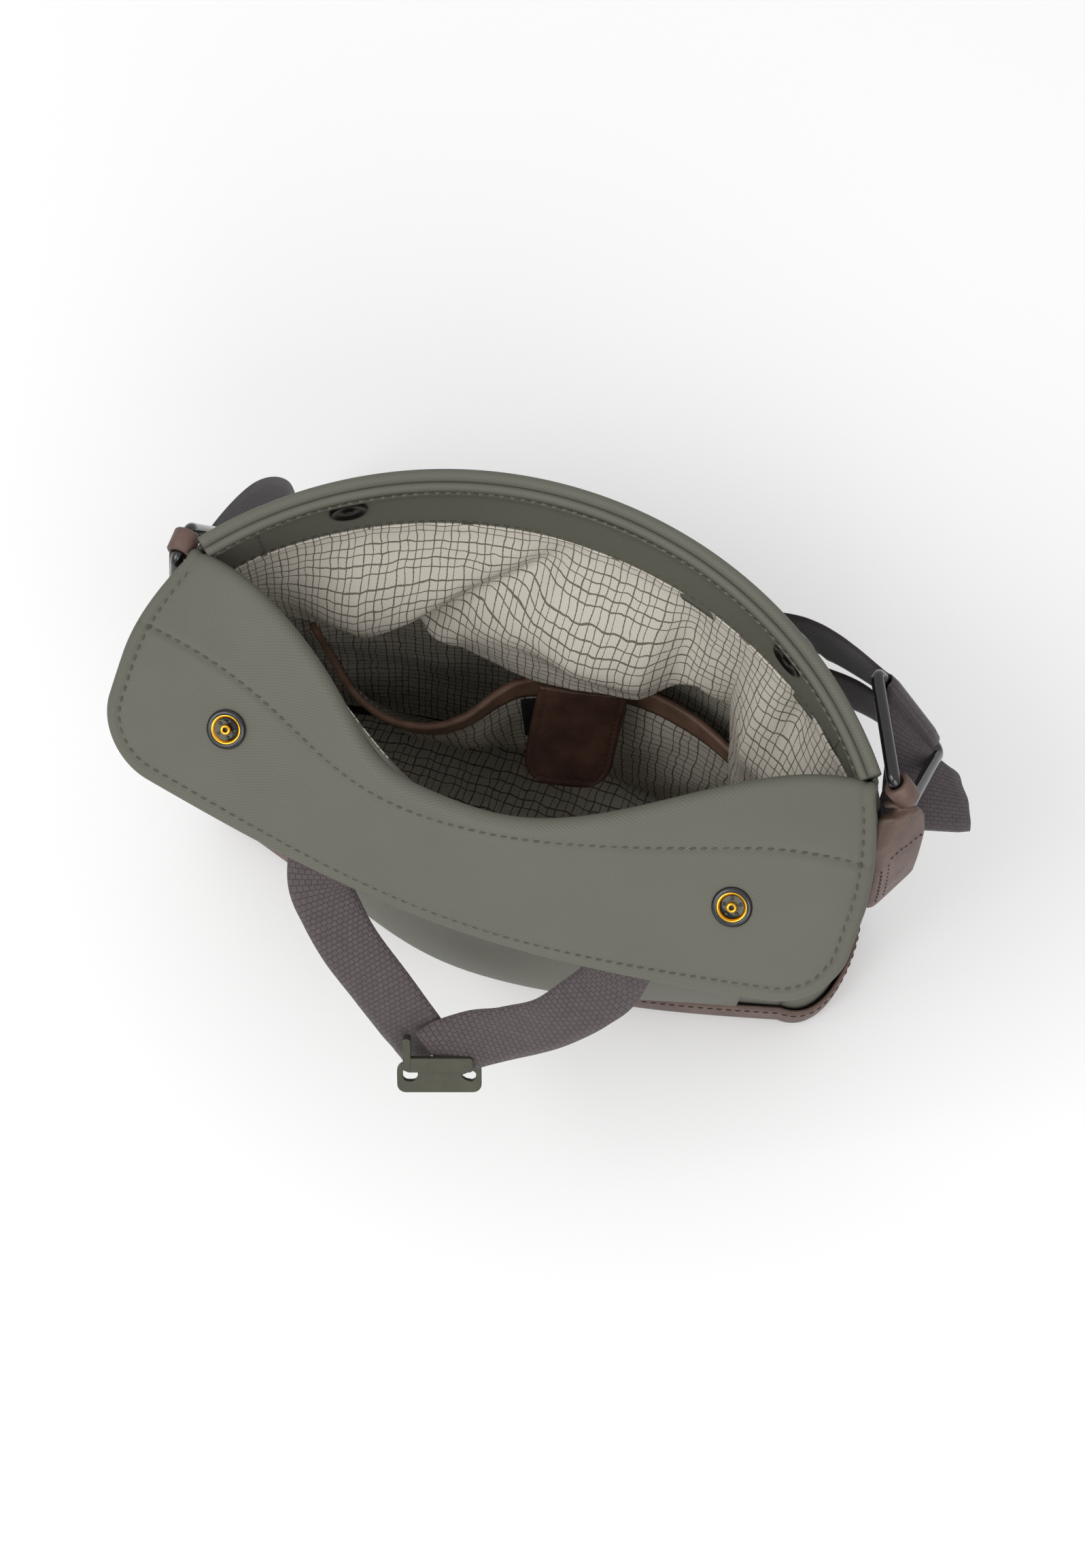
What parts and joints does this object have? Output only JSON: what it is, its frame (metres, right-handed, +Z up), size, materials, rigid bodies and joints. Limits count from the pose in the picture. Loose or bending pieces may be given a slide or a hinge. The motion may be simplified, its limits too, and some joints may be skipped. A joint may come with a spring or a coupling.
{
  "type": "flap messenger bag",
  "caption": "Small coated canvas messenger bag standing open, flap thrown back, with a lined inside, leather pocket tongue, hook buckle loop and webbing shoulder strap on triangular rings",
  "frame": {"origin": "centre of the base's underside, midway between the two side tabs, on the floor", "axes": "+Z up; +X along the bag's length to the side tab with the bight of strap; +Y to the bag's front wall; the flap is thrown back towards -Y"},
  "size_m": [0.3418, 0.2651, 0.244],
  "materials": {
    "canvas": "coated canvas, semi-matt",
    "lining": "checked cotton",
    "leather": "oiled dark brown",
    "tab_leather": "oiled brown",
    "webbing": "ribbed webbing",
    "black_metal": "gloss black",
    "dark_metal": "gunmetal",
    "brass": "bright",
    "board": "raw",
    "hook_loop": "hook and loop tape"
  },
  "bodies": {
    "bag": {"front_panel": "canvas", "front_facing": "canvas", "back_panel": "canvas", "back_facing": "canvas", "gusset_right": "canvas", "gusset_left": "canvas", "facing_right": "canvas", "facing_left": "canvas", "rim_roll": "canvas", "back_pocket_panel": "canvas", "back_pocket_binding": "canvas", "back_yoke": "canvas", "lining_front": "lining", "lining_back": "lining", "lining_right": "lining", "lining_left": "lining", "lining_bottom": "lining", "inner_pocket_panel": "lining", "leather_base": "leather", "pocket_binding": "leather", "side_tab_right": "tab_leather", "side_tab_left": "tab_leather", "shoulder_strap": "webbing", "strap_return": "webbing", "snap_socket_right": "dark_metal", "snap_socket_left": "dark_metal", "socket_cap_right": "dark_metal", "socket_cap_left": "dark_metal", "base_board": "board", "hook_patch": "hook_loop"},
    "flap": {"flap_facing": "canvas", "flap_outer": "canvas", "snap_stud_right": "brass", "snap_stud_left": "brass", "stud_cap_right": "dark_metal", "stud_cap_left": "dark_metal", "strap_anchor_left": "webbing", "strap_anchor_right": "webbing"},
    "closure_loop": {"closure_strap_left": "webbing", "closure_strap_right": "webbing", "buckle_hook": "dark_metal"},
    "buckle": {"buckle_frame": "dark_metal"},
    "tongue": {"pocket_tongue": "leather", "loop_patch": "hook_loop"},
    "ring_right": {"ring_right": "black_metal", "strap_turn_right": "webbing"},
    "ring_left": {"ring_left": "black_metal", "strap_turn_left": "webbing"},
    "slider": {"strap_slider": "black_metal"}
  },
  "joints": [
    {"name": "flap_fold", "type": "hinge", "parent": "bag", "child": "flap", "pos_m": [0, -0.03, 0.231], "axis": [-1, 0, 0], "range_deg": [0, 170]},
    {"name": "strap_swing", "type": "hinge", "parent": "flap", "child": "closure_loop", "pos_m": [0, -0.084, 0.177], "axis": [-1, 0, 0], "range_deg": [-12, 60]},
    {"name": "buckle_release", "type": "slide", "parent": "closure_loop", "child": "buckle", "axis": [0.2685, -0.7258, -0.6333], "range_m": [0, 0.0025]},
    {"name": "tongue_lift", "type": "hinge", "parent": "bag", "child": "tongue", "pos_m": [0.01, 0.021, 0.136], "axis": [-1, 0, 0], "range_deg": [0, 55]},
    {"name": "ring_right_swivel", "type": "hinge", "parent": "bag", "child": "ring_right", "pos_m": [0.1445, 0.0015, 0.2315], "axis": [0.6696, -0.1839, -0.7196], "range_deg": [-6, 6]},
    {"name": "ring_left_swivel", "type": "hinge", "parent": "bag", "child": "ring_left", "pos_m": [-0.1465, 0.0015, 0.2315], "axis": [0, 1, 0], "range_deg": [0, 3.8]},
    {"name": "slider_slide", "type": "slide", "parent": "bag", "child": "slider", "axis": [-0.9019, 0.0796, -0.4244], "range_m": [0, 0.04]}
  ]
}
